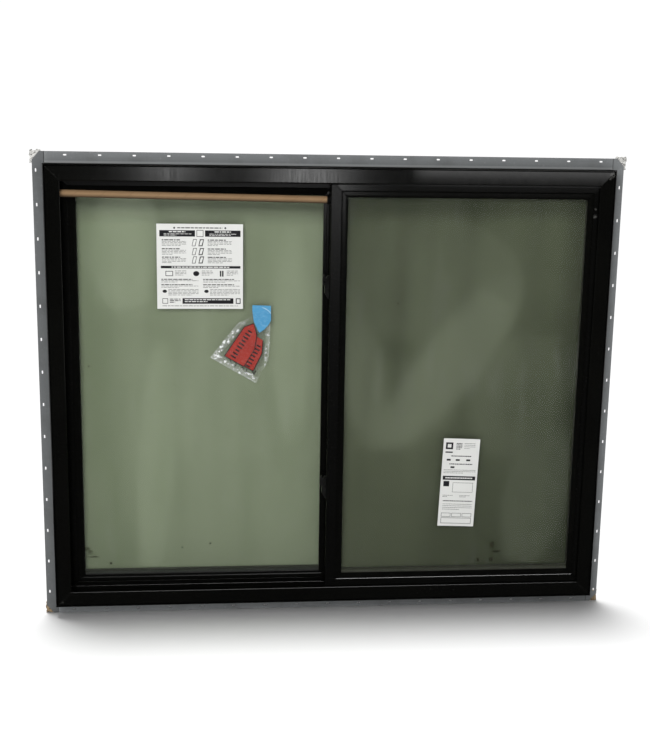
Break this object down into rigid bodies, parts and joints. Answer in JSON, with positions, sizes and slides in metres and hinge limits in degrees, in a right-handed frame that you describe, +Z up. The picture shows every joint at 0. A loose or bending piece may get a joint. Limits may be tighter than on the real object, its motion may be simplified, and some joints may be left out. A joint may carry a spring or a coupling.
{
  "type": "horizontal sliding window",
  "caption": "Horizontal sliding window with a black mitred frame, slotted nailing fin, fixed lite, sliding sash on rollers, edge locks and its packing papers.",
  "frame": {"origin": "middle of the sill fin's mounting face, on the room side of the strip", "axes": "+X along the sill to the right as seen from the room, +Y to the outdoors, +Z up"},
  "size_m": [1.571, 0.073, 1.267],
  "materials": {
    "frame_black": "satin black pultruded frame",
    "fin_grey": "dull grey extruded strip",
    "foam_white": "open cell foam",
    "foam_tan": "open cell foam",
    "bead_black": "soft black bead",
    "clear_glass": "coated insulating glass",
    "spacer_steel": "dull rolled steel",
    "sash_black": "satin black pultruded sash",
    "track_black": "dull black extrusion",
    "roller_nylon": "moulded nylon",
    "lock_black": "satin black die casting",
    "screen_black": "satin black roll-formed bar",
    "screen_cloth": "coated glass-fibre cloth",
    "kraft_board": "wound kraft board",
    "cap_rubber": "matt black",
    "sheet_paper": "plain printed sheet",
    "tape_blue": "crepe masking tape",
    "bag_film": "clear polythene film"
  },
  "bodies": {
    "root": {"frame_sill": "frame_black", "frame_right_jamb": "frame_black", "frame_head": "frame_black", "frame_left_jamb": "frame_black", "fixed_meeting_stile": "frame_black", "fin_head": "fin_grey", "fin_sill": "fin_grey", "fin_left": "fin_grey", "fin_right": "fin_grey", "fin_head_corner_pads": "foam_white", "fin_sill_corner_pads": "foam_tan", "fixed_bottom_bead": "bead_black", "fixed_meeting_bead": "bead_black", "fixed_top_bead": "bead_black", "fixed_jamb_bead": "bead_black", "sash_bottom_bead": "bead_black", "sash_pull_bead": "bead_black", "sash_top_bead": "bead_black", "sash_meeting_bead": "bead_black", "fixed_inner_pane": "clear_glass", "fixed_outer_pane": "clear_glass", "sash_inner_pane": "clear_glass", "sash_outer_pane": "clear_glass", "fixed_spacer": "spacer_steel", "sash_spacer": "spacer_steel", "sash_top_rail": "sash_black", "sash_pull_stile": "sash_black", "sash_meeting_stile": "sash_black", "sash_bottom_rail": "sash_black", "sill_track": "track_black", "head_guide": "track_black", "sash_rollers": "roller_nylon", "upper_lock_case": "lock_black", "upper_lock_lever": "lock_black", "lower_lock_case": "lock_black", "lower_lock_lever": "lock_black", "screen_bottom_bar": "screen_black", "screen_jamb_bar": "screen_black", "screen_top_bar": "screen_black", "screen_meeting_bar": "screen_black", "screen_mesh": "screen_cloth", "shipping_tube": "kraft_board", "shipping_tube_cap": "cap_rubber", "instruction_sheet": "sheet_paper", "rating_sheet": "sheet_paper", "tape_strip": "tape_blue", "hardware_bag": "bag_film"}
  },
  "joints": []
}
